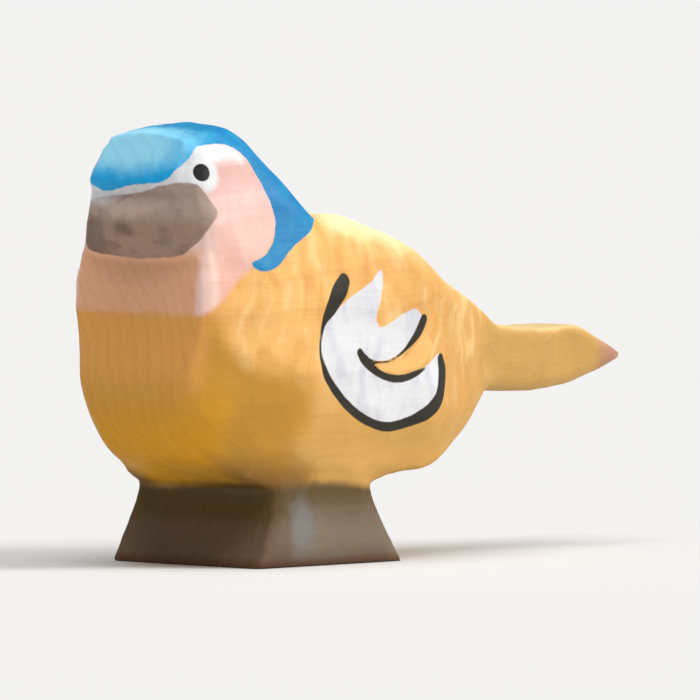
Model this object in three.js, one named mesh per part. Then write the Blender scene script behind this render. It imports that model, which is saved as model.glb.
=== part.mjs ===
// A small painted wood carving of a chaffinch standing on a foot block, all one piece.
// Millimetres, +Z up. The origin is the centre of the foot's underside.
// The bill points to -X and the tail to +X.
// The bird is sawn in side profile from a board, pared thinner towards crown and tail, with eased edges.
// So the side profile is meshed first, as a flat grid, and each point then gets the wood's half width there.
import * as THREE from "three";
import { mergeVertices } from "three/addons/utils/BufferGeometryUtils.js";

// Driving dimensions
const BODY_HALF_WIDTH = 10.3; // half the board, after its sides are cleaned up
const FOOT_HALF_WIDTH = 11; // at the underside
const FOOT_HEIGHT = 7.8; // underside to the waist, where the foot meets the belly
const CROWN_HEIGHT = 44.6;
const BREAST_X = -18.2; // foremost line of the breast
const TAIL_TIP_X = 51.3;

// The bill is a low pyramid, as wide as the face.
const BILL_REACH = 2.7; // how far its point stands out of the face
const BILL_BOTTOM = 31;
const BILL_POINT = 34.3;
const BILL_TOP = 37.6;

// Foot: the profile flares from the waist down to the underside.
const WAIST = { front: -7.4, middle: -0.5, rear: 6.4 };
const BASE = { front: -10.4, rear: 10.4 };
const FLARE_POWER = 1.4;
const FOOT_ROWS = 5;

// Where the wood is pared thinner: the stretch of height or length that it runs over, and how thin it gets.
const CROWN_PARING = { over: [27, 44], halfWidth: 7.4 };
const CROWN_CAMBER = { over: [38, 43], drop: 0.6 }; // how much lower the crown is at its sides
const CHEEK_PARING = { over: [-6, -16.5], above: [17, 25], loss: 1.2 };
const RUMP_PARING = { over: [13, 31], halfWidth: 4.9 };
const TAIL_PARING = { over: [29, TAIL_TIP_X], loss: 3.6 };

// Easing of the sawn edges: how far it runs in from the outline, and how much of the width it takes.
const EDGE = { run: 2.7, depth: 2.1 };
const BELLY_EDGE = { run: 6, depth: 2.7, below: [20, 13] };
const THROAT_EDGE = { run: 0.9, depth: 0.5, below: [34, 30], inFrontOf: [-9, -14] }; // the sharpest
const FOOT_EDGE = { share: 0.2, below: [FOOT_HEIGHT + 4.5, FOOT_HEIGHT - 0.5] }; // left almost square
const TAIL_EDGE_SHARE = 0.34;
const EDGE_POWER = 1.5; // 1 is a flat chamfer, 2 a quarter round

// The breast's lower corners are rounded off further, from its front line backwards.
const CORNER = { run: 11, depth: 3.7, below: [27, 16], power: 1.3 };
const FRONT_FADE = 9; // how soon the front's own shape gives way to the columns behind it

// Positions across the sawn band, as shares of its half width. The bill's edges run through them.
const ACROSS = [-1, -0.5, 0, 0.5, 1];

const point = (x, z) => new THREE.Vector2(x, z);
const curve = (...points) => new THREE.SplineCurve(points);
const line = (a, b) => new THREE.LineCurve(a, b);
const mix = THREE.MathUtils.lerp;
// Rises smoothly from 0 to 1 as value goes from start to end, which may lie below it.
const ease = (value, [start, end]) => THREE.MathUtils.smoothstep((value - start) / (end - start), 0, 1);

// Side profile, in x and z. Corners that two curves share are named once.
const chin = point(-15, 11.4);
const brow = point(-17.4, 39.9);
const forelock = point(-15.7, CROWN_HEIGHT - 1);
const napeTop = point(-7, 43.3);
const napeEnd = point(0.8, 34.9);
const shoulder = point(7.6, 34.1);
const tailRootTop = point(29.6, 23);
const tailRootUnder = point(28, 16.2);
const tailEndTop = point(TAIL_TIP_X, 19.2);
const tailEndUnder = point(TAIL_TIP_X, 18.5);
const waistFront = point(WAIST.front, FOOT_HEIGHT);
const waistMiddle = point(WAIST.middle, FOOT_HEIGHT);
const waistRear = point(WAIST.rear, FOOT_HEIGHT);

// From head to tail: each span has a curve along the back, one along the belly, and its number of columns.
const spans = [
  {
    top: curve(forelock, point(-12.6, CROWN_HEIGHT - 0.4), point(-9.6, CROWN_HEIGHT), napeTop),
    under: curve(chin, point(-12.4, 9.9), point(-9.8, 8.7), waistFront),
    columns: 10,
  },
  {
    top: line(napeTop, napeEnd),
    under: line(waistFront, waistMiddle),
    columns: 6,
  },
  {
    top: curve(napeEnd, point(2.6, 35.3), point(5, 35), shoulder),
    under: line(waistMiddle, waistRear),
    columns: 6,
  },
  {
    top: curve(shoulder, point(12.6, 32.3), point(18.6, 28.5), point(25, 25.8), tailRootTop),
    under: curve(waistRear, point(11, 9), point(17.4, 9.9), point(24.6, 13.1), tailRootUnder),
    columns: 20,
  },
  {
    top: curve(tailRootTop, point(36, 22.4), point(43.6, 22.3), point(47.8, 20.8), tailEndTop),
    under: curve(tailRootUnder, point(33.5, 15.9), point(41, 16), point(47, 17.1), tailEndUnder),
    columns: 16,
  },
];

// Up the front: breast, bill and forehead, each with its number of rows.
const front = [
  { curve: curve(chin, point(-17.4, 14.9), point(BREAST_X, 19)), rows: 6 },
  { curve: curve(point(BREAST_X, 19), point(-16.9, 25), point(-16.7, BILL_BOTTOM)), rows: 7 },
  { curve: line(point(-16.7, BILL_BOTTOM), point(-17, BILL_POINT)), rows: 2 },
  { curve: line(point(-17, BILL_POINT), point(-17, BILL_TOP)), rows: 2 },
  { curve: curve(point(-17, BILL_TOP), point(-17.7, 38.4), brow), rows: 2 },
  { curve: line(brow, forelock), rows: 3 },
];

// Points of joined curves, with the corners that two pieces share taken once.
function along(pieces) {
  const points = [pieces[0].curve.getPoint(0)];
  for (const { curve: piece, count } of pieces) {
    for (let i = 1; i <= count; i += 1) points.push(piece.getPointAt(i / count));
  }
  return points;
}

// The body's grid: columns run from belly to back, and the first one is the front itself.
function bodyGrid() {
  const top = along(spans.map((span) => ({ curve: span.top, count: span.columns })));
  const under = along(spans.map((span) => ({ curve: span.under, count: span.columns })));
  const face = along(front.map((piece) => ({ curve: piece.curve, count: piece.rows })));
  const heights = [0];
  for (let j = 1; j < face.length; j += 1) {
    heights.push(heights[j - 1] + face[j].distanceTo(face[j - 1]));
  }
  const shares = heights.map((height) => height / heights.at(-1));
  const straightFace = shares.map((v) => under[0].clone().lerp(top[0], v));
  return top.map((end, i) => {
    const nearFront = (1 - i / (top.length - 1)) ** FRONT_FADE;
    return shares.map((v, j) => {
      const bend = face[j].clone().sub(straightFace[j]).multiplyScalar(nearFront);
      return under[i].clone().lerp(end, v).add(bend);
    });
  });
}

// The foot's grid hangs from the points that the body's grid has along the waist.
function footGrid(body) {
  const waist = body.map((column) => column[0]).filter((p) => Math.abs(p.y - FOOT_HEIGHT) < 1e-6);
  return waist.map((p) => {
    const share = (p.x - WAIST.front) / (WAIST.rear - WAIST.front);
    const flare = mix(BASE.front - WAIST.front, BASE.rear - WAIST.rear, share);
    return Array.from({ length: FOOT_ROWS + 1 }, (_, row) => {
      const up = row / FOOT_ROWS;
      return point(p.x + flare * (1 - up) ** FLARE_POWER, FOOT_HEIGHT * up);
    });
  });
}

function distanceTo(p, edges) {
  const nearest = point(0, 0);
  let least = Infinity;
  for (const [a, b] of edges) {
    const run = b.clone().sub(a);
    const share = THREE.MathUtils.clamp(p.clone().sub(a).dot(run) / run.lengthSq(), 0, 1);
    nearest.copy(a).addScaledVector(run, share);
    least = Math.min(least, nearest.distanceTo(p));
  }
  return least;
}

// Half width of the pared board, before its edges are eased.
function paredHalfWidth(x, z) {
  if (z < FOOT_HEIGHT) return mix(FOOT_HALF_WIDTH, BODY_HALF_WIDTH, ease(z, [0, FOOT_HEIGHT]));
  const crown = mix(BODY_HALF_WIDTH, CROWN_PARING.halfWidth, ease(z, CROWN_PARING.over));
  const cheek = CHEEK_PARING.loss * ease(x, CHEEK_PARING.over) * ease(z, CHEEK_PARING.above);
  const rump = mix(BODY_HALF_WIDTH, RUMP_PARING.halfWidth, ease(x, RUMP_PARING.over));
  const tail = rump - TAIL_PARING.loss * ease(x, TAIL_PARING.over);
  return Math.min(crown, BODY_HALF_WIDTH - cheek, tail);
}

// The share of an edge's depth that is taken off at a distance from it.
function taken(distance, run, power) {
  const left = Math.max(0, 1 - distance / run);
  return 1 - (1 - left ** power) ** (1 / power);
}

function easedHalfWidth(p, outline) {
  const throat = ease(p.y, THROAT_EDGE.below) * ease(p.x, THROAT_EDGE.inFrontOf);
  const belly = ease(p.y, BELLY_EDGE.below);
  const share =
    mix(1, FOOT_EDGE.share, ease(p.y, FOOT_EDGE.below)) *
    mix(1, TAIL_EDGE_SHARE, ease(p.x, RUMP_PARING.over));
  const blend = (of) => mix(mix(EDGE[of], THROAT_EDGE[of], throat), BELLY_EDGE[of], belly) * share;
  const edge = blend("depth") * taken(distanceTo(p, outline), blend("run"), EDGE_POWER);
  const frontLine = outline.filter((ends) => ends.every((end) => end.x <= chin.x));
  const low = ease(p.y, CORNER.below);
  const corner = CORNER.depth * low * taken(distanceTo(p, frontLine), CORNER.run, CORNER.power);
  return paredHalfWidth(p.x, p.y) - Math.hypot(edge, corner);
}

// How far the bill stands out of the face: across runs from -1 to 1.
function billReach(across, z) {
  const half = z > BILL_POINT ? BILL_TOP - BILL_POINT : BILL_POINT - BILL_BOTTOM;
  const away = Math.max(Math.abs(across), Math.abs(z - BILL_POINT) / half);
  return BILL_REACH * Math.max(0, 1 - away);
}

// Two triangles for a four-cornered face. A bent one is split where its front bulges most.
function addQuad(positions, a, b, c, d) {
  const split = a[0] + c[0] <= b[0] + d[0] ? [a, b, c, a, c, d] : [b, c, d, b, d, a];
  for (const corner of split) positions.push(...corner);
}

function chaffinchGeometry() {
  const body = bodyGrid();
  const quads = [];
  for (const grid of [body, footGrid(body)]) {
    for (let i = 0; i + 1 < grid.length; i += 1) {
      for (let j = 0; j + 1 < grid[i].length; j += 1) {
        quads.push([grid[i][j], grid[i + 1][j], grid[i + 1][j + 1], grid[i][j + 1]]);
      }
    }
  }
  const key = (p) => `${p.x.toFixed(4)} ${p.y.toFixed(4)}`;
  const directed = new Map();
  for (const quad of quads) {
    quad.forEach((p, n) => {
      const next = quad[(n + 1) % 4];
      directed.set(`${key(p)} ${key(next)}`, [p, next]);
    });
  }
  const outline = [...directed.values()].filter(([a, b]) => !directed.has(`${key(b)} ${key(a)}`));
  const widths = new Map();
  const halfWidth = (p) => {
    if (!widths.has(key(p))) widths.set(key(p), easedHalfWidth(p, outline));
    return widths.get(key(p));
  };
  const camber = (p, share) => p.y - CROWN_CAMBER.drop * share ** 2 * ease(p.y, CROWN_CAMBER.over);
  const side = (p, sign) => [p.x, sign * halfWidth(p), camber(p, 1)];
  const positions = [];
  for (const quad of quads) {
    addQuad(positions, ...quad.map((p) => side(p, -1)));
    addQuad(positions, ...quad.map((p) => side(p, 1)).reverse());
  }
  const faceX = WAIST.front * 2; // what is in front of this is the face
  const onBand = (p, share) => {
    const reach = p.x < faceX ? billReach(share, p.y) : 0;
    return [p.x - reach, share * halfWidth(p), camber(p, share)];
  };
  for (const [a, b] of outline) {
    for (let n = 0; n + 1 < ACROSS.length; n += 1) {
      const [from, to] = [ACROSS[n], ACROSS[n + 1]];
      addQuad(positions, onBand(b, from), onBand(a, from), onBand(a, to), onBand(b, to));
    }
  }
  const geometry = new THREE.BufferGeometry();
  geometry.setAttribute("position", new THREE.Float32BufferAttribute(positions, 3));
  const joined = mergeVertices(geometry, 1e-3);
  joined.computeVertexNormals();
  return joined;
}

const paintedWood = new THREE.MeshStandardMaterial({
  color: 0xdda253,
  roughness: 0.6,
  metalness: 0,
});

const carving = new THREE.Group();
const chaffinch = new THREE.Mesh(chaffinchGeometry(), paintedWood);
chaffinch.name = "chaffinch";
carving.add(chaffinch);

export default carving;
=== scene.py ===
import math

import bpy
import numpy as np
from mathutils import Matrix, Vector, kdtree, noise


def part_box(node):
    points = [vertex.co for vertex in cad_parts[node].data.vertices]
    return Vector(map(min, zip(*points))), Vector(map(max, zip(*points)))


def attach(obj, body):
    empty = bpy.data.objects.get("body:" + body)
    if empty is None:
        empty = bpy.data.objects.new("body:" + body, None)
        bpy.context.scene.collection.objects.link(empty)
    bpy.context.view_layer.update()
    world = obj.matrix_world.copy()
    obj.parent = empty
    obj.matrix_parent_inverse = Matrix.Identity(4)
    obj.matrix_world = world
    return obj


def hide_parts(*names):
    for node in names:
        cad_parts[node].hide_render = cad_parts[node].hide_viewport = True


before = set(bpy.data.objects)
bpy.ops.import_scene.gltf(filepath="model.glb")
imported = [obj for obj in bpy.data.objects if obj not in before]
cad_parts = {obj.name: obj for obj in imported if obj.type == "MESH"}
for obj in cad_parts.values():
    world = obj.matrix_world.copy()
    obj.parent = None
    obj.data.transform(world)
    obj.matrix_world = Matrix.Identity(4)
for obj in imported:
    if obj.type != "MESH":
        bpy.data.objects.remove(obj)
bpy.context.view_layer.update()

# A small painted wood carving of a chaffinch on its foot block: carved surface, paint, light and camera.
# The bird faces -X, its tail points to +X and it is cut from a board that is thin along Y.
# Shapes and paint are planned in millimetres, and meshes are in metres.
# A pair whose name ends in _X, _Y or _Z is a range along that axis, over which something comes in from
# the first number to the second. _OFF_MIDDLE is the same for the distance from the board's middle, and
# _EDGE for how far inside a patch of paint a place lies.

MM = 0.001
FOOT_TOP = 7.8

# Carved surface

VOXEL = 0.27  # edge length of the even mesh
SMOOTHING = 0.5  # share of the way to the neighbours' middle in one round
EDGE_ROUNDS = 7
CORNER_ROUNDS = 45  # the cut corners of the lower breast run softly into the sides
CRISPNESS = 0.75  # share of the smoothing that crisp places are spared
CRISP_TAIL_X = (36, 46)
CRISP_FACE_X = (-12, -14.5)
CRISP_FACE_Z = (23, 27)
CRISP_FACE_SHARE = 0.8  # of the tail's crispness
SOFT_CORNER_X = (9, 2)
SOFT_CORNER_Z = (26, 20)
SOFT_CORNER_FOOT_Z = (FOOT_TOP + 0.5, FOOT_TOP + 2.5)
SOFT_CORNER_OFF_MIDDLE = (4, 6)

BREAST_FILL = 0.35
BREAST_FILL_X = (-10, -14)
BREAST_FILL_LOW_Z = (FOOT_TOP, FOOT_TOP + 6)
BREAST_FILL_HIGH_Z = (31, 28)
BELLY_FILL = 0.45
BELLY_FILL_FRONT_X = (8, 15)
BELLY_FILL_REAR_X = (32, 24)
BELLY_FILL_Z = (17, 13)

SCOOP_SEED = 11
SCOOP_SPACING = 3.5
SCOOP_STRETCH = (0.62, 1.0, 0.9)  # scoops are longer along the grain
SCOOP_RADIUS = 26.0
SCOOP_LIFT = 0.03
SCOOP_TILT = 0.02
SCOOPS_NEAR = 6  # how many scoops may cut one place
RIDGE_HEIGHT = 0.15  # over the middle of a scoop
RIDGE_WIDTH = 0.05  # how much deeper the next scoop may be where a ridge between two shows
SHALLOWER = 0.6  # share of the depth that the foot and the front go without
SHALLOW_FOOT_Z = (FOOT_TOP + 1.5, FOOT_TOP - 0.5)
SHALLOW_FRONT_X = (-12.5, -15.5)
UNDERSIDE_FADE = 1.5


def ease(value, start, end):
    """Rises smoothly from 0 at start to 1 at end, which may lie below start."""
    t = np.clip((value - start) / (end - start), 0, 1)
    return t * t * (3 - 2 * t)


def remeshed(source):
    """The CAD solid's form on an even, fine mesh, with the edges of its flat triangles smoothed away."""
    work = bpy.data.objects.new("work", source.data.copy())
    bpy.context.scene.collection.objects.link(work)
    remesh = work.modifiers.new("remesh", "REMESH")
    remesh.mode = "VOXEL"
    remesh.voxel_size = VOXEL * MM
    depsgraph = bpy.context.evaluated_depsgraph_get()
    mesh = bpy.data.meshes.new_from_object(work.evaluated_get(depsgraph))
    bpy.data.objects.remove(work)
    mesh.name = "chaffinch_carving"
    x, y, z = vertices(mesh).T
    face = CRISP_FACE_SHARE * ease(x, *CRISP_FACE_X) * ease(z, *CRISP_FACE_Z)
    crisp = np.maximum(ease(x, *CRISP_TAIL_X), face)
    smooth(mesh, EDGE_ROUNDS, SMOOTHING * (1 - CRISPNESS * crisp))
    corner = ease(x, *SOFT_CORNER_X) * ease(z, *SOFT_CORNER_Z) * ease(z, *SOFT_CORNER_FOOT_Z)
    corner = corner * ease(np.abs(y), *SOFT_CORNER_OFF_MIDDLE)
    smooth(mesh, CORNER_ROUNDS, SMOOTHING * corner)
    return mesh


def vertices(mesh):
    co = np.empty(len(mesh.vertices) * 3)
    mesh.vertices.foreach_get("co", co)
    return co.reshape(-1, 3) / MM


def normals(mesh):
    found = np.empty(len(mesh.vertices) * 3)
    mesh.vertices.foreach_get("normal", found)
    return found.reshape(-1, 3)


def move_to(mesh, co):
    mesh.vertices.foreach_set("co", (co * MM).ravel())
    mesh.update()


def smooth(mesh, rounds, amount):
    """Draws every vertex towards the middle of its neighbours by its amount, from 0 to 1."""
    ends = np.empty(len(mesh.edges) * 2, int)
    mesh.edges.foreach_get("vertices", ends)
    a, b = ends.reshape(-1, 2).T
    co = vertices(mesh)
    count = np.bincount(ends, minlength=len(co))[:, None]
    for _ in range(rounds):
        around = np.column_stack([
            np.bincount(a, co[b, axis], len(co)) + np.bincount(b, co[a, axis], len(co)) for axis in range(3)
        ])
        co = co + amount[:, None] * (around / count - co)
    move_to(mesh, co)


def fill_out(mesh):
    """Rounds the breast and the rear belly out a little."""
    co, normal = vertices(mesh), normals(mesh)
    x, _, z = co.T
    breast = ease(x, *BREAST_FILL_X) * ease(z, *BREAST_FILL_LOW_Z) * ease(z, *BREAST_FILL_HIGH_Z)
    belly = ease(x, *BELLY_FILL_FRONT_X) * ease(x, *BELLY_FILL_REAR_X) * ease(z, *BELLY_FILL_Z)
    belly = belly * np.maximum(0, -normal[:, 2])
    move_to(mesh, co + normal * (BREAST_FILL * breast + BELLY_FILL * belly)[:, None])


def search_tree(points):
    tree = kdtree.KDTree(len(points))
    for i, point in enumerate(points):
        tree.insert(point, i)
    tree.balance()
    return tree


def scoop_seeds(co, rng):
    """Vertices spread over the surface about a scoop apart, as indices."""
    stretched = co * SCOOP_STRETCH
    tree = search_tree(stretched)
    free = np.ones(len(co), bool)
    seeds = []
    for i in rng.permutation(len(co)):
        if free[i]:
            seeds.append(i)
            near = tree.find_range(stretched[i], SCOOP_SPACING)
            free[[index for _, index, _ in near]] = False
    return np.array(seeds)


def knife_scoops(mesh):
    """Hollows the surface into small, flat scoops, as a knife leaves it. Returns where their ridges are."""
    co, normal = vertices(mesh), normals(mesh)
    rng = np.random.default_rng(SCOOP_SEED)
    middles = co[scoop_seeds(co, rng)]
    lift = rng.normal(0, SCOOP_LIFT, len(middles))
    tilt = rng.normal(0, SCOOP_TILT, (len(middles), 3))
    tree = search_tree(middles * SCOOP_STRETCH)
    nearest = np.array([[i for _, i, _ in tree.find_n(p, SCOOPS_NEAR)] for p in co * SCOOP_STRETCH])
    heights = np.empty(nearest.shape)
    for k, scoop in enumerate(nearest.T):
        away = co - middles[scoop]
        hollow = np.sum((away * SCOOP_STRETCH) ** 2, axis=1) / (2 * SCOOP_RADIUS)
        heights[:, k] = hollow + lift[scoop] + np.einsum("ij,ij->i", away, tilt[scoop])
    heights.sort(axis=1)
    x, _, z = co.T
    on_foot = ease(z, *SHALLOW_FOOT_Z)
    on_front = ease(x, *SHALLOW_FRONT_X)
    carved = ease(z, z.min(), z.min() + UNDERSIDE_FADE)
    carved = carved * (1 - SHALLOWER * on_foot) * (1 - SHALLOWER * on_front)
    depth = np.maximum(RIDGE_HEIGHT - heights[:, 0], 0) * carved
    move_to(mesh, co - normal * depth[:, None])
    return (1 - ease(heights[:, 1] - heights[:, 0], 0, RIDGE_WIDTH)) * carved


# Painting plan: outlines in the board's side view as (x, z), all but LOWER_CORNER_SHADE wrapped round the face.
# The points of a brush stroke have its half width as a third value.

FACE_HALF_WIDTH = 8.7  # half width at which the side view starts to wrap round the face
FACE_BEND_X = (-14.2, -16.0)
BROW_SLANT = 0.16  # the lines over the bill are painted this much higher towards -Y
BROW_SLANT_Z = (33, 37)
STEPS = 8  # points of a curve from one planned point to the next


def paint_plane(co):
    """Where a point lies on the side view (x, z), with the face unrolled in front of it."""
    x, y, z = co.T
    round_face = ease(x, *FACE_BEND_X)
    inward = np.maximum(0, FACE_HALF_WIDTH - np.abs(y))
    slant = BROW_SLANT * y * round_face * ease(z, *BROW_SLANT_Z)
    return np.column_stack([x - round_face * inward, z + slant])


def rounded(points, closed=False):
    """A Catmull-Rom curve through the points; each point's further values, such as a width, go along."""
    p = np.array(points, float)
    p = np.vstack([p[-1], p, p[0], p[1]]) if closed else np.vstack([2 * p[0] - p[1], p, 2 * p[-1] - p[-2]])
    t = np.linspace(0, 1, STEPS, endpoint=False)[:, None]
    pieces = []
    for a, b, c, d in zip(p, p[1:], p[2:], p[3:]):
        curve = 2 * b + (c - a) * t + (2 * a - 5 * b + 4 * c - d) * t**2 + (3 * b - a - 3 * c + d) * t**3
        pieces.append(curve / 2)
    pieces.append(p[-2:-1])
    return np.vstack(pieces)


def nearest_on_path(points, path):
    """Distance to the path, and how far along it, counted in path points, the nearest place is."""
    best = np.full(len(points), np.inf)
    where = np.zeros(len(points))
    for i, (a, b) in enumerate(zip(path[:, :2], path[1:, :2])):
        run = b - a
        share = np.clip((points - a) @ run / max(run @ run, 1e-9), 0, 1)
        gap = np.linalg.norm(points - a - share[:, None] * run, axis=1)
        closer = gap < best
        best[closer] = gap[closer]
        where[closer] = (i + share)[closer]
    return best, where


def stroke(points, path):
    """How far inside a brush stroke each point is; path holds x, z and the stroke's half width."""
    path = rounded(path)
    gap, where = nearest_on_path(points, path)
    return np.interp(where, np.arange(len(path)), path[:, 2]) - gap


def patch(points, outline):
    """How far inside a closed outline each point is."""
    path = rounded(outline, closed=True)
    gap, _ = nearest_on_path(points, path)
    inside = np.zeros(len(points), bool)
    x, z = points.T
    for (ax, az), (bx, bz) in zip(path, path[1:]):
        if az == bz:
            continue
        crosses = ((az > z) != (bz > z)) & (x < (bx - ax) * (z - az) / (bz - az) + ax)
        inside ^= crosses
    return np.where(inside, gap, -gap)


BLUE = [
    (-31, 38.4), (-26, 38.4), (-21.7, 38.4), (-20, 39.3), (-18.4, 40.2), (-16.6, 41.5), (-15, 42.3),
    (-13.4, 42.6), (-12, 42.6), (-10.6, 42.2), (-9, 41), (-7.6, 38.9), (-6.7, 36.6), (-6.4, 34.7),
    (-7.2, 32.6), (-8.8, 31.3), (-10.6, 30.5), (-9.4, 29.8), (-7.4, 30.2), (-5.4, 31.4), (-3.4, 32.7),
    (-0.4, 34.4), (4, 38), (0, 50), (-31, 50),
]  # fmt: skip
FACE = [
    (-31, 39.5), (-31, 25.6), (-24, 25.7), (-19.5, 25.6), (-16.5, 25.8), (-14.6, 26.9), (-12.8, 28.4),
    (-10.8, 29.9), (-8.4, 31.6), (-6.2, 34), (-6, 37), (-7.4, 40.4), (-10, 43), (-14, 43.6), (-20, 42.4),
]  # fmt: skip
BILL = [
    (-31, 37.6), (-25.5, 37.6), (-22.6, 37.8), (-19.4, 37.8), (-17.4, 37.5), (-15.8, 37), (-14.5, 36.4),
    (-14.3, 35.6), (-15.2, 34.3), (-16.4, 33.3), (-18, 32.3), (-19.8, 31.5), (-24, 31.1), (-31, 31),
]  # fmt: skip
WHITE_BROW = [
    (-20, 38.6, 1.1), (-18.4, 40.2, 1.3), (-16, 41.4, 1.3), (-13.6, 41.9, 1.2), (-11.6, 41.7, 0.9),
    (-9.8, 41, 0.5),
]  # fmt: skip
# Outline of the painted shade on the breast's lower corners, flat on the side view.
LOWER_CORNER_SHADE = [
    (-16.4, 25.4), (-14.4, 23.8), (-12.6, 22), (-11, 20.6), (-8.6, 20), (-5.7, 19.8), (-3.6, 18.8),
    (-2.6, 16.6), (-2.6, 14), (-4.2, 12.4), (-4.6, 10.2), (-3, 8.9), (-2, 6), (-24, 6), (-24, 16),
    (-19, 23),
]  # fmt: skip
WING_WHITE = [
    (7.5, 29.4), (5.8, 28.2), (3.9, 27.3), (1.6, 26.1), (-0.4, 24.8), (-1.2, 22.4), (-1, 20.4), (0, 18.6),
    (1.8, 16.6), (4, 15), (6.4, 13.8), (9, 13.5), (12.4, 14.4), (15.4, 15.6), (16.6, 17.4), (16, 20.6),
    (14.8, 20), (12.6, 18.9), (10, 18.6), (7.6, 18.9), (5.7, 20.2), (4.6, 21.3), (6, 20.5), (8.1, 20.2),
    (10.2, 20.9), (11.9, 22.2), (13.2, 24.2), (12.5, 25.4), (10.6, 25), (8.9, 24.1), (7.4, 23.6),
    (6.7, 24.6), (7.3, 26.8),
]  # fmt: skip
WING_BLACK = [
    [(2.2, 28.5, 0.8), (1.4, 27.5, 1), (0.2, 25.9, 0.8), (-0.8, 24.3, 0.3), (-1.2, 22.4, 0.14),
     (-1.1, 20.9, 0.2), (-0.3, 19, 0.42), (1.4, 16.9, 0.48), (3.5, 15.2, 0.48), (5.9, 14, 0.46),
     (8.4, 13.6, 0.46), (11.2, 13.9, 0.5), (13.9, 14.8, 0.74), (15.8, 15.9, 0.86), (16.6, 17.4, 0.8),
     (16.6, 19, 0.72), (16.2, 20.2, 0.5)],
    [(4.3, 21.3, 0.42), (5.2, 20.3, 0.54), (6.5, 19.3, 0.44), (8.3, 18.6, 0.38), (10.4, 18.4, 0.38),
     (12.2, 18.7, 0.28), (13.6, 19.2, 0.12)],
    [(4.5, 21.2, 0.3), (6.1, 20.3, 0.16), (8.2, 20.1, 0.1), (10.2, 20.8, 0.14), (11.8, 22.1, 0.34),
     (12.9, 23.3, 0.52), (13.6, 24.3, 0.5)],
]  # fmt: skip
WING_CRESCENT = [
    (6.6, 19.8), (8.4, 19.2), (10.6, 19), (13, 19.5), (14.4, 20.4), (14.7, 21.6), (13.9, 22.6),
    (12.6, 22), (10.8, 20.4), (8.6, 19.9),
]  # fmt: skip
EYES = ((-15.4, -7.5, 39.9), (-14.4, 7.9, 39.9))  # the right one a little further back
EYE_RADIUS = 0.92
TAIL_TIP = (51.3, 0, 18.8)
TAIL_TIP_RADIUS = 5.5
BILL_TIP = (-20, 0, 34)
BILL_TIP_RADIUS = 1.6
FOREHEAD = np.array((-16.2, 2.4, 42.3))
FOREHEAD_RADIUS = 2.5
FOREHEAD_STRETCH = (0.6, 0.32, 1)
FOOT_SHEEN = np.array((-4.2, 10.6, 4.0))  # a painted sheen, and the same on the left
FOOT_SHEEN_RADIUS = 2.3
FOOT_SHEEN_STRETCH = (1, 1, 0.6)
FOOT_LINE_HIGHEST = 8.5  # where the foot's dark paint ends beside its front left corner
FOOT_LINE_LOWEST = 7.4
FOOT_LINE_SLOPE = 0.09
FOOT_LINE_PEAK = -12.5  # x + y where the line is highest
HAND_SCALE = 0.21
HAND_SHIFT = Vector((40, 0, 9))
HAND_REACH = 0.25  # how far the hand strays from the plan at most
FOOT_HAND_REACH = 0.3


def within(co, centre, radius):
    """How far inside a ball each point is, in millimetres."""
    return radius - np.linalg.norm(co - centre, axis=1)


def unsteady_hand(co):
    """Two smooth, uneven values between -1 and 1 for each point."""
    places = [Vector(p) * HAND_SCALE for p in co]
    return np.array([[noise.noise(p), noise.noise(p + HAND_SHIFT)] for p in places])


def foot_line(co):
    """The height at which the foot's dark paint ends at each point's place round the foot."""
    from_peak = np.abs(co[:, 0] + co[:, 1] - FOOT_LINE_PEAK)
    return np.maximum(FOOT_LINE_LOWEST, FOOT_LINE_HIGHEST - FOOT_LINE_SLOPE * from_peak)


def painted_zones(mesh, ridges):
    """Writes for every vertex how far inside each patch of paint it is, and the ridges and slope there."""
    co = vertices(mesh)
    mirrored = np.abs(co) * (0, 1, 0) + co * (1, 0, 1)
    side_view = co[:, (0, 2)]
    sheen = FOOT_SHEEN * FOOT_SHEEN_STRETCH
    flat = paint_plane(co)
    hand = unsteady_hand(co)
    drawn = flat + hand * HAND_REACH
    eyes = [co[np.argmax(within(co, eye, 0))] for eye in EYES]  # moved to the nearest vertex
    zones = {
        "ridge": ridges,
        "up": normals(mesh)[:, 2],
        "blue": patch(drawn, BLUE),
        "face": patch(drawn, FACE),
        "bill": patch(flat, BILL),
        "brow": stroke(drawn, WHITE_BROW),
        "forehead": within(co * FOREHEAD_STRETCH, FOREHEAD * FOREHEAD_STRETCH, FOREHEAD_RADIUS),
        "lower_corner_shade": patch(side_view + hand, LOWER_CORNER_SHADE),
        "wing_white": patch(drawn, WING_WHITE),
        "wing_crescent": patch(drawn, WING_CRESCENT),
        "wing_black": np.max([stroke(drawn, line) for line in WING_BLACK], axis=0),
        "eye": np.max([within(co, eye, EYE_RADIUS) for eye in eyes], axis=0),
        "foot": foot_line(co) + hand[:, 0] * FOOT_HAND_REACH - co[:, 2],
        "tail_tip": within(co, TAIL_TIP, TAIL_TIP_RADIUS),
        "bill_tip": within(co, BILL_TIP, BILL_TIP_RADIUS),
        "foot_sheen": within(mirrored * FOOT_SHEEN_STRETCH, sheen, FOOT_SHEEN_RADIUS),
    }
    for name, inside in zones.items():
        layer = mesh.attributes.new(name, "FLOAT", "POINT")
        layer.data.foreach_set("value", inside.astype(np.float32))


# Paint


def linear(*srgb):
    """A colour given as its three sRGB numbers from 0 to 255."""
    shares = (value / 255 for value in srgb)
    return tuple(c / 12.92 if c <= 0.04045 else ((c + 0.055) / 1.055) ** 2.4 for c in shares) + (1,)


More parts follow.
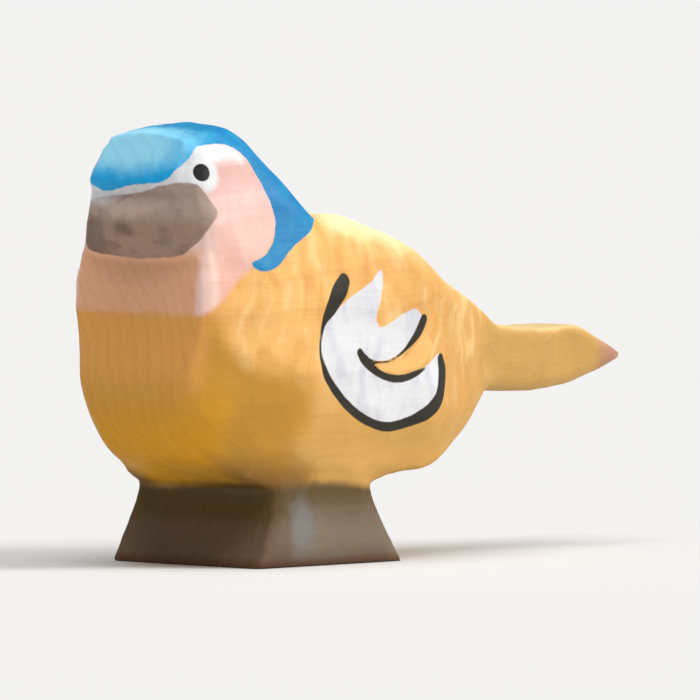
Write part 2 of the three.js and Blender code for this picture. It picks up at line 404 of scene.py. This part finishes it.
OCHRE = linear(239, 185, 108)
OCHRE_PALE = linear(252, 214, 150)
OCHRE_STREAK = linear(222, 158, 78)
OCHRE_FRONT = linear(226, 160, 82)
OCHRE_BELLY = linear(204, 156, 78)
OCHRE_LOW = linear(218, 153, 10)
OCHRE_PAINTED_LIGHT_UNDER_BREAST = linear(240, 172, 30)
OCHRE_CORNER_SHADE = linear(190, 138, 44)
OCHRE_SHADE_ABOVE_FOOT = linear(116, 78, 24)
OCHRE_REAR = linear(214, 165, 94)
OCHRE_TAIL = linear(194, 150, 78)
# cream of the painted highlight on the back's crest, and of the rubbed ridges
CREAM_HIGHLIGHT_AND_WEAR = linear(255, 238, 186)
BLUE_PAINT = linear(0, 130, 190)
BLUE_TEAL = linear(0, 152, 196)
BLUE_NAPE = linear(0, 114, 174)
BLUE_FRONT_PAINTED_LIGHT = linear(0, 172, 236)
BLUE_LIGHT = linear(154, 226, 254)
WHITE_PAINT = linear(224, 226, 230)
WHITE_SHADE = linear(200, 201, 216)
PINK = linear(232, 179, 162)
PINK_PALE = linear(231, 192, 184)
PINK_HIGH = linear(216, 171, 164)
PINK_STREAK_AND_HIGHLIGHT = linear(240, 210, 200)
THROAT = linear(228, 170, 132)
BILL_PAINT = linear(162, 134, 118)
BILL_HIGHLIGHT = linear(176, 154, 142)
BILL_DARK = linear(110, 88, 74)
BILL_GREY = linear(204, 200, 202)
BLACK_PAINT = linear(36, 32, 20)
EYE_PAINT = linear(10, 12, 18)
FOOT_PAINT = linear(118, 104, 88)
FOOT_FRONT = linear(106, 84, 64)
FOOT_OLIVE = linear(90, 70, 30)
FOOT_DARK = linear(96, 78, 58)
FOOT_RIM = linear(90, 50, 20)
FOOT_PAINTED_SHEEN = linear(118, 121, 122)
TIP_PAINT = linear(172, 122, 104)
GRAIN = linear(150, 98, 52)

# Wood and brush marks

RINGS_PER_MM = 0.62
RING_AXIS_Y = 34.0  # the middle of the growth rings lies beside the board
RING_AXIS_Z = 12.0
RING_AXIS_RISE = 0.11  # towards the tail
RING_WAVE = 6.0
RING_WAVE_SCALES = (0.02, 0.09, 0.09)
FIBRE_SCALES = (0.12, 2.6, 2.6)
LATE_WOOD_DEPTH = 0.06
FIBRE_DEPTH = 0.08
RUBBED = 0.05
BLOTCH_SCALE = 0.11
CLOUD_SCALE = 0.42
STROKE_SCALES = (0.55, 0.55, 0.14)  # strokes run up and down
STROKE_LEAN = (0, 0.3, 0)
STROKE_BEND = (5, 5, 5)
STROKE_BEND_SCALE = 0.16
RAGGED_SCALE = 0.7
RAGGED_REACH = 0.3
FIBRE_RELIEF, STROKE_RELIEF, RING_RELIEF = 0.03, 0.05, 0.02
BUMP_STRENGTH = 0.5
GLOSSY, MATT = 0.48, 0.66  # roughness
SPECULAR = 0.3


class Nodes:
    """Short names for shader nodes. Inputs are numbers, colours or sockets."""

    def __init__(self, tree):
        self.tree = tree

    def put(self, socket, value):
        if isinstance(value, bpy.types.NodeSocket):
            self.tree.links.new(value, socket)
        else:
            socket.default_value = value

    def add(self, kind, inputs=(), **settings):
        node = self.tree.nodes.new(kind)
        for key, value in settings.items():
            setattr(node, key, value)
        for key, value in dict(inputs).items():
            self.put(node.inputs[key], value)
        return node

    def math(self, operation, *values):
        return self.add("ShaderNodeMath", enumerate(values), operation=operation).outputs[0]

    def plus(self, a, b):
        return self.math("ADD", a, b)

    def minus(self, a, b):
        return self.math("SUBTRACT", a, b)

    def times(self, a, b):
        return self.math("MULTIPLY", a, b)

    def larger(self, a, b):
        return self.math("MAXIMUM", a, b)

    def ramp(self, value, start, end, low=0.0, high=1.0):
        """Runs smoothly from low, where the value is at start, to high, where it is at end."""
        inputs = {"Value": value, "From Min": start, "From Max": end, "To Min": low, "To Max": high}
        return self.add("ShaderNodeMapRange", inputs, interpolation_type="SMOOTHSTEP").outputs[0]

    def mix(self, share, below, above, blend="MIX"):
        node = self.add("ShaderNodeMix", data_type="RGBA", blend_type=blend)
        factor, colour_below, colour_above = node.inputs[0], node.inputs[6], node.inputs[7]
        self.put(factor, share)
        self.put(colour_below, below)
        self.put(colour_above, above)
        return node.outputs[2]

    def stretched(self, vector, scale, turn=(0, 0, 0)):
        inputs = {"Vector": vector, "Scale": scale, "Rotation": turn}
        return self.add("ShaderNodeMapping", inputs).outputs[0]

    def noise(self, vector, detail, scale=1.0, roughness=0.55):
        inputs = {"Vector": vector, "Scale": scale, "Detail": detail, "Roughness": roughness}
        return self.add("ShaderNodeTexNoise", inputs).outputs["Fac"]

    def noise_colour(self, vector, scale):
        inputs = {"Vector": vector, "Scale": scale, "Detail": 1.0}
        return self.add("ShaderNodeTexNoise", inputs).outputs["Color"]

    def attribute(self, name):
        return self.add("ShaderNodeAttribute", attribute_name=name).outputs["Fac"]


class Paint(Nodes):
    """The nodes with what every area of paint shares: places in millimetres, and wood and brush marks."""

    def __init__(self, tree):
        super().__init__(tree)
        place = self.add("ShaderNodeTexCoord").outputs["Object"]
        self.mm = self.stretched(place, (1 / MM,) * 3)
        self.x, self.y, self.z = self.add("ShaderNodeSeparateXYZ", {"Vector": self.mm}).outputs
        self.off_middle = self.math("ABSOLUTE", self.y)
        self.mark_wood()
        self.mark_brush()

    def mark_wood(self):
        """Rings round an axis beside the board, and fibres drawn out along the grain."""
        wavy = self.noise(self.stretched(self.mm, RING_WAVE_SCALES), detail=2.0)
        off_y = self.minus(self.plus(self.y, self.times(wavy, RING_WAVE)), RING_AXIS_Y)
        off_z = self.minus(self.z, self.plus(RING_AXIS_Z, self.times(self.x, RING_AXIS_RISE)))
        radius = self.math("SQRT", self.plus(self.times(off_y, off_y), self.times(off_z, off_z)))
        ring = self.math("FRACT", self.times(radius, RINGS_PER_MM))
        self.late_wood = self.times(self.ramp(ring, 0.35, 0.9), self.ramp(ring, 1.0, 0.93))
        self.fibre = self.noise(self.stretched(self.mm, FIBRE_SCALES), detail=4.0, roughness=0.6)

    def mark_brush(self):
        """Blotches, smaller clouds, upright brush strokes and ragged edges."""
        self.blotch = self.noise(self.mm, detail=2.0, scale=BLOTCH_SCALE)
        self.cloud = self.noise(self.mm, detail=3.0, scale=CLOUD_SCALE)
        push = self.stretched(self.noise_colour(self.mm, STROKE_BEND_SCALE), STROKE_BEND)
        bent = self.add("ShaderNodeVectorMath", {0: self.mm, 1: push}, operation="ADD").outputs[0]
        along = self.stretched(bent, STROKE_SCALES, STROKE_LEAN)
        self.strokes = self.noise(along, detail=1.5, roughness=0.45)
        uneven = self.noise(self.mm, detail=3.0, scale=RAGGED_SCALE, roughness=0.6)
        self.ragged = self.times(self.minus(uneven, 0.5), RAGGED_REACH)

    def inside(self, zone, soft=0.07, wobble=1.0):
        """1 inside a painted zone and 0 outside, with an edge of the given softness and raggedness."""
        rough_edge = self.plus(self.attribute(zone), self.times(self.ragged, wobble))
        return self.ramp(rough_edge, -soft, soft)

    def clouded(self, value, spread):
        """The value with uneven clouds added, so that what depends on it has no even edge."""
        return self.plus(value, self.times(self.minus(self.cloud, 0.5), spread))


# Ochre body

BODY_FRONT_X = (-12.0, -16.0)
REAR_X = (3.0, 22.0)
TAIL_X = (22.0, 31.0)
BELLY_Z = (22.5, 11.5)
LOW_BREAST_Z = (22.0, 12.5)
LOW_BREAST_X = (-11.0, -15.0)
UNDER_BREAST_Z = (11.8, 9.4)
UNDER_BREAST_X = (-7.0, -9.0)
UNDER_BREAST_Y = (-6.5, 6.0)
CORNER_X = (-17.5, -14.5)
CORNER_Y = (-4.0, 4.0)
SHADE_Z = (12.5, 8.0)
SHADE_OFF_MIDDLE = (5.0, 8.6)
SHADE_X = (0.5, -5.0)
SHADE_REAR_X = (16.0, 9.0)
CREST_X = (0.0, 3.0)
CREST_REAR_X = (9.0, 15.0)
LEVEL_ENOUGH = (0.3, 0.9)  # how far upwards the surface faces where the painted highlight on the back comes in


def ochre_body(n):
    """Ochre with brush strokes: browner on the front, yellower low on it, duller towards the tail."""
    front = n.ramp(n.x, *BODY_FRONT_X)
    colour = n.mix(n.ramp(n.clouded(n.x, 8.0), *REAR_X), OCHRE, OCHRE_REAR)
    colour = n.mix(front, colour, OCHRE_FRONT)
    colour = n.mix(n.ramp(n.strokes, 0.5, 0.66, high=0.55), colour, OCHRE_STREAK)
    colour = n.mix(n.ramp(n.strokes, 0.48, 0.32, high=0.5), colour, n.mix(front, OCHRE_PALE, OCHRE_FRONT))
    colour = n.mix(n.ramp(n.blotch, 0.4, 0.7, high=0.3), colour, OCHRE_STREAK)
    colour = n.mix(n.ramp(n.clouded(n.z, 3.0), *BELLY_Z), colour, OCHRE_BELLY)
    # Painted shade: deeper, darker ochre over the breast's cut lower corners, weaker on the bird's right.
    corner = n.times(n.inside("lower_corner_shade", soft=1.8, wobble=4.0), n.ramp(n.x, *CORNER_X))
    colour = n.mix(n.times(corner, n.ramp(n.y, *CORNER_Y, low=1.0, high=0.65)), colour, OCHRE_CORNER_SHADE)
    low = n.times(n.ramp(n.clouded(n.z, 4.0), *LOW_BREAST_Z), n.ramp(n.x, *LOW_BREAST_X))
    colour = n.mix(low, colour, OCHRE_LOW)
    # Painted light: brighter ochre low under the front of the breast, most towards the bird's right.
    painted_light_under = n.times(n.ramp(n.clouded(n.z, 1.0), *UNDER_BREAST_Z), n.ramp(n.x, *UNDER_BREAST_X))
    colour = n.mix(n.times(painted_light_under, n.ramp(n.y, *UNDER_BREAST_Y)), colour, OCHRE_PAINTED_LIGHT_UNDER_BREAST)
    return n.mix(n.ramp(n.clouded(n.x, 6.0), *TAIL_X, high=0.9), colour, OCHRE_TAIL)


def shade_above_foot(n, colour):
    """Painted shade: darker paint just above the foot, most of it by the front corners."""
    shade = n.times(n.ramp(n.clouded(n.z, 1.0), *SHADE_Z), n.ramp(n.off_middle, *SHADE_OFF_MIDDLE))
    shade = n.times(shade, n.ramp(n.clouded(n.x, 2.0), *SHADE_X, low=0.15, high=0.9))
    return n.mix(n.times(shade, n.ramp(n.x, *SHADE_REAR_X)), colour, OCHRE_SHADE_ABOVE_FOOT)


def painted_crest_highlight(n, colour):
    """Painted highlight: pale cream along the top of the back, where the surface faces upwards."""
    crest = n.times(n.ramp(n.attribute("up"), *LEVEL_ENOUGH), n.ramp(n.x, *CREST_X))
    return n.mix(n.times(crest, n.ramp(n.x, *CREST_REAR_X, low=0.85, high=0.4)), colour, CREAM_HIGHLIGHT_AND_WEAR)


# Face

CHEEK_Z = (37.5, 28.5)
CHEEK_HIGH_Z = (36.5, 40.0)
CHEEK_CORNER_HIGHLIGHT_X = (-14.2, -15.4)
THROAT_OFF_MIDDLE = (8.8, 8.0)
THROAT_Z = (33.0, 31.0)
THROAT_X = (-15.0, -16.0)
EYE_RING_EDGE = (-1.5, -0.6)
BROW_EDGE = (-0.6, 0.8)
BILL_LINE_X = (-14.8, -16.2)
BILL_LINE_Z = (35.6, 36.8)


def face_paint(n):
    """Pink cheek and browner throat, with white round the eye, on the brow and above the bill."""
    colour = n.mix(n.ramp(n.clouded(n.z, 4.0), *CHEEK_Z), PINK_PALE, PINK)
    colour = n.mix(n.ramp(n.strokes, 0.5, 0.34, high=0.3), colour, PINK_STREAK_AND_HIGHLIGHT)
    # Painted highlight: paler pink on the front corners of the face, beside the throat.
    colour = n.mix(n.ramp(n.clouded(n.x, 1.0), *CHEEK_CORNER_HIGHLIGHT_X, high=0.7), colour, PINK_STREAK_AND_HIGHLIGHT)
    throat = n.times(n.ramp(n.off_middle, *THROAT_OFF_MIDDLE), n.ramp(n.z, *THROAT_Z))
    throat = n.times(throat, n.ramp(n.x, *THROAT_X))
    colour = n.mix(throat, colour, THROAT)
    colour = n.mix(n.ramp(n.clouded(n.z, 4.0), *CHEEK_HIGH_Z, high=0.7), colour, PINK_HIGH)
    ring = n.ramp(n.clouded(n.attribute("eye"), 0.8), *EYE_RING_EDGE)
    brow = n.ramp(n.clouded(n.attribute("brow"), 0.8), *BROW_EDGE)
    line = n.times(n.ramp(n.x, *BILL_LINE_X), n.ramp(n.z, *BILL_LINE_Z))
    return n.mix(n.larger(n.larger(ring, brow), line), colour, WHITE_PAINT)


# Blue crown and nape

FOREHEAD_EDGE = (-1.3, 1.3)
NAPE_X = (-13.0, -7.0)
BLUE_FRONT_X = (-14.2, -15.4)


def blue_paint(n):
    """Blue, deeper on the nape and brighter on the front as painted light, with a light blue forehead."""
    light = n.ramp(n.clouded(n.attribute("forehead"), 1.6), *FOREHEAD_EDGE)
    light = n.larger(light, n.ramp(n.strokes, 0.56, 0.8, high=0.08))
    colour = n.mix(n.ramp(n.cloud, 0.35, 0.65), BLUE_PAINT, BLUE_TEAL)
    colour = n.mix(n.ramp(n.x, *NAPE_X, high=0.6), colour, BLUE_NAPE)
    # Painted light: a brighter blue on the front of the head, where it lies in shade.
    colour = n.mix(n.ramp(n.x, *BLUE_FRONT_X, high=0.9), colour, BLUE_FRONT_PAINTED_LIGHT)
    return n.mix(light, colour, BLUE_LIGHT)


# Bill

BILL_TIP_EDGE = (-0.8, 1.2)
BILL_HIGH_Z = (34.2, 36.0)
BILL_RIGHT_Y = (1.5, 6.0)
BILL_RIGHT_LOW_Z = (35.6, 34.4)
BILL_RIGHT_HIGH_Z = (35.9, 36.7)


def bill_paint(n):
    """Grey-brown, paler above in painted highlight, dark at the tip; the bird's right end greyer above,
    darker below in painted shade.
    """
    # Painted highlight on the upper part of the bill.
    colour = n.mix(n.ramp(n.clouded(n.z, 1.5), *BILL_HIGH_Z), BILL_PAINT, BILL_HIGHLIGHT)
    colour = n.mix(n.ramp(n.cloud, 0.5, 0.75, high=0.5), colour, BILL_DARK)
    tip = n.ramp(n.clouded(n.attribute("bill_tip"), 1.5), *BILL_TIP_EDGE, high=0.75)
    colour = n.mix(tip, colour, BILL_DARK)
    # Painted shade on the lower part of the bill's right end.
    right = n.ramp(n.clouded(n.y, 3.0), *BILL_RIGHT_Y)
    low = n.ramp(n.clouded(n.z, 1.5), *BILL_RIGHT_LOW_Z, high=0.75)
    colour = n.mix(n.times(right, low), colour, BILL_DARK)
    high = n.ramp(n.clouded(n.z, 1.0), *BILL_RIGHT_HIGH_Z, high=0.8)
    return n.mix(n.times(right, high), colour, BILL_GREY)


# Foot

DARK_FRONT_X = (-5.7, -7.1)  # at the underside
DARK_FRONT_SLANT = -0.3
SHEEN_EDGE = (-0.2, 1.8)
FOOT_HIGH_Z = (3.4, 7.6)
FOOT_FRONT_LOW_Z = (0.5, 3.5)
FOOT_FRONT_HIGH_Z = (3.5, 5.5)
FOOT_RIM_Z = (1.3, 0.3)


def foot_paint(n):
    """Dark brown, olive towards its top and darker on the front, with a painted sheen, a paler grey spot,
    on each side.
    """
    colour = n.mix(n.ramp(n.blotch, 0.35, 0.65, high=0.3), FOOT_PAINT, FOOT_DARK)
    front = n.ramp(n.plus(n.clouded(n.x, 1.5), n.times(n.z, DARK_FRONT_SLANT)), *DARK_FRONT_X)
    front = n.times(front, n.ramp(n.z, *FOOT_FRONT_LOW_Z, low=0.75))
    olive = n.ramp(n.clouded(n.z, 2.5), *FOOT_FRONT_HIGH_Z)
    colour = n.mix(front, colour, n.mix(olive, FOOT_FRONT, FOOT_OLIVE))
    colour = n.mix(n.ramp(n.clouded(n.z, 1.5), *FOOT_HIGH_Z), colour, FOOT_OLIVE)
    # Painted sheen: a paler, greyer spot on each side of the foot.
    painted_sheen = n.ramp(n.clouded(n.attribute("foot_sheen"), 2.0), *SHEEN_EDGE, high=0.7)
    colour = n.mix(painted_sheen, colour, FOOT_PAINTED_SHEEN)
    return n.mix(n.ramp(n.z, *FOOT_RIM_Z, high=0.7), colour, FOOT_RIM)


# The whole bird

TAIL_TIP_EDGE = (0.0, 3.4)


def wood_and_wear(n, colour):
    """The grain darkens every paint a little, and the ridges between scoops are rubbed paler."""
    colour = n.mix(n.times(n.late_wood, LATE_WOOD_DEPTH), colour, GRAIN, "MULTIPLY")
    colour = n.mix(n.ramp(n.fibre, 0.4, 0.75, high=FIBRE_DEPTH), colour, GRAIN, "MULTIPLY")
    rubbed = n.times(n.attribute("ridge"), n.ramp(n.cloud, 0.42, 0.75, high=RUBBED))
    return n.mix(rubbed, colour, CREAM_HIGHLIGHT_AND_WEAR)


def bump(n):
    """Fine relief of fibres, brush strokes and rings."""
    relief = n.plus(n.times(n.fibre, FIBRE_RELIEF), n.times(n.strokes, STROKE_RELIEF))
    relief = n.minus(relief, n.times(n.late_wood, RING_RELIEF))
    inputs = {"Height": relief, "Strength": BUMP_STRENGTH, "Distance": MM}
    return n.add("ShaderNodeBump", inputs).outputs[0]


def painted_wood():
    """The one material. Each area's paint lies over the ones before it."""
    material = bpy.data.materials.new("painted_wood")
    material.use_nodes = True
    tree = material.node_tree
    tree.nodes.clear()
    n = Paint(tree)
    colour = painted_crest_highlight(n, shade_above_foot(n, ochre_body(n)))
    colour = n.mix(n.inside("face", soft=0.45, wobble=1.5), colour, face_paint(n))
    colour = n.mix(n.inside("blue"), colour, blue_paint(n))
    colour = n.mix(n.inside("bill", soft=0.1), colour, bill_paint(n))
    wing = n.mix(n.ramp(n.strokes, 0.45, 0.7, high=0.6), WHITE_PAINT, WHITE_SHADE)
    colour = n.mix(n.inside("wing_white", soft=0.1), colour, wing)
    colour = n.mix(n.inside("wing_crescent", soft=0.1), colour, OCHRE)
    colour = n.mix(n.inside("foot", soft=0.5, wobble=1.5), colour, foot_paint(n))
    colour = wood_and_wear(n, colour)
    tip = n.ramp(n.clouded(n.attribute("tail_tip"), 1.5), *TAIL_TIP_EDGE, high=0.9)
    colour = n.mix(tip, colour, TIP_PAINT)
    colour = n.mix(n.inside("wing_black", soft=0.08, wobble=0.6), colour, BLACK_PAINT)
    colour = n.mix(n.inside("eye", wobble=0.0), colour, EYE_PAINT)
    roughness = n.ramp(n.plus(n.cloud, n.times(n.fibre, 0.4)), 0.4, 1.0, GLOSSY, MATT)
    look = {"Base Color": colour, "Roughness": roughness, "Normal": bump(n), "Specular IOR Level": SPECULAR}
    shader = n.add("ShaderNodeBsdfPrincipled", look)
    out = n.add("ShaderNodeOutputMaterial", {"Surface": shader.outputs[0]})
    out.is_active_output = True
    return material


def carve_chaffinch():
    mesh = remeshed(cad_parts["chaffinch"])
    fill_out(mesh)
    ridges = knife_scoops(mesh)
    lowest, highest = (np.array(corner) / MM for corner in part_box("chaffinch"))
    move_to(mesh, np.clip(vertices(mesh), lowest, highest))
    painted_zones(mesh, ridges)
    mesh.materials.clear()
    mesh.materials.append(painted_wood())
    mesh.polygons.foreach_set("use_smooth", np.ones(len(mesh.polygons), bool))
    bird = bpy.data.objects.new("chaffinch_carving", mesh)
    bpy.context.scene.collection.objects.link(bird)
    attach(bird, "root")
    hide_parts("chaffinch")


# Stage, light and camera

AZIMUTH = math.radians(-45)
ELEVATION = math.radians(3)
RIGHT = Vector((math.cos(AZIMUTH), math.sin(AZIMUTH), 0))
BACK = Vector((-math.sin(AZIMUTH), math.cos(AZIMUTH), 0))  # level, away from the camera
TOWARDS_CAMERA = (-BACK * math.cos(ELEVATION) + Vector((0, 0, math.sin(ELEVATION)))).normalized()
UP = TOWARDS_CAMERA.cross(RIGHT)
VIEW_CENTRE = (RIGHT * 9.3 + UP * 21.2) * MM
VIEW_WIDTH = 70.4 * MM
CAMERA_DISTANCE = 3.0
SENSOR_WIDTH = 36
CLIP_END = 60
BACKDROP = linear(242, 242, 242)
FLOOR_PAINT = linear(216, 216, 216)
FLOOR_ROUGHNESS = 0.9
FLOOR_SPECULAR = 0.1
FLOOR_REACH = 15.0
AMBIENT = (1, 0.99, 0.97, 1)
AMBIENT_STRENGTH = 0.28


def floor_material():
    material = bpy.data.materials.new("floor")
    material.use_nodes = True
    shader = material.node_tree.nodes["Principled BSDF"]
    shader.inputs["Base Color"].default_value = FLOOR_PAINT
    shader.inputs["Roughness"].default_value = FLOOR_ROUGHNESS
    shader.inputs["Specular IOR Level"].default_value = FLOOR_SPECULAR
    return material


def floor():
    """A pale floor all round."""
    mesh = bpy.data.meshes.new("floor")
    corners = [(x * FLOOR_REACH, y * FLOOR_REACH, 0) for x, y in ((-1, -1), (1, -1), (1, 1), (-1, 1))]
    mesh.from_pydata(corners, [], [(0, 1, 2, 3)])
    mesh.materials.append(floor_material())
    obj = bpy.data.objects.new("floor", mesh)
    bpy.context.scene.collection.objects.link(obj)


def lamp(name, towards, strength, angle, colour=(1, 1, 1)):
    """A broad, even light from far off; towards points from the bird to the light, angle is in degrees."""
    light = bpy.data.lights.new(name, "SUN")
    light.energy = strength
    light.angle = math.radians(angle)
    light.color = colour
    obj = bpy.data.objects.new(name, light)
    obj.rotation_euler = Vector(towards).to_track_quat("Z", "Y").to_euler()
    bpy.context.scene.collection.objects.link(obj)


def studio():
    """Soft light from all round, a plain backdrop, a warm key light and a wide one from above."""
    world = bpy.data.worlds.new("studio")
    world.use_nodes = True
    tree = world.node_tree
    tree.nodes.clear()
    n = Nodes(tree)
    ambient = n.add("ShaderNodeBackground", {"Color": AMBIENT, "Strength": AMBIENT_STRENGTH})
    seen = n.add("ShaderNodeBackground", {"Color": BACKDROP, "Strength": 1.0})
    direct = n.add("ShaderNodeLightPath").outputs["Is Camera Ray"]
    mixed = n.add("ShaderNodeMixShader", {0: direct, 1: ambient.outputs[0], 2: seen.outputs[0]})
    n.add("ShaderNodeOutputWorld", {"Surface": mixed.outputs[0]})
    bpy.context.scene.world = world
    lamp("key", towards=(0.6, -0.62, 0.5), strength=2.5, angle=24, colour=(1, 0.97, 0.93))
    lamp("top", towards=(-0.12, -0.1, 1), strength=2.1, angle=50)


def camera():
    data = bpy.data.cameras.new("camera")
    data.sensor_width = SENSOR_WIDTH
    data.lens = SENSOR_WIDTH * CAMERA_DISTANCE / VIEW_WIDTH
    data.clip_end = CLIP_END
    obj = bpy.data.objects.new("camera", data)
    obj.location = VIEW_CENTRE + TOWARDS_CAMERA * CAMERA_DISTANCE
    obj.rotation_euler = TOWARDS_CAMERA.to_track_quat("Z", "Y").to_euler()
    bpy.context.scene.collection.objects.link(obj)
    bpy.context.scene.camera = obj


bpy.context.scene.view_settings.view_transform = "Standard"
carve_chaffinch()
floor()
studio()
camera()
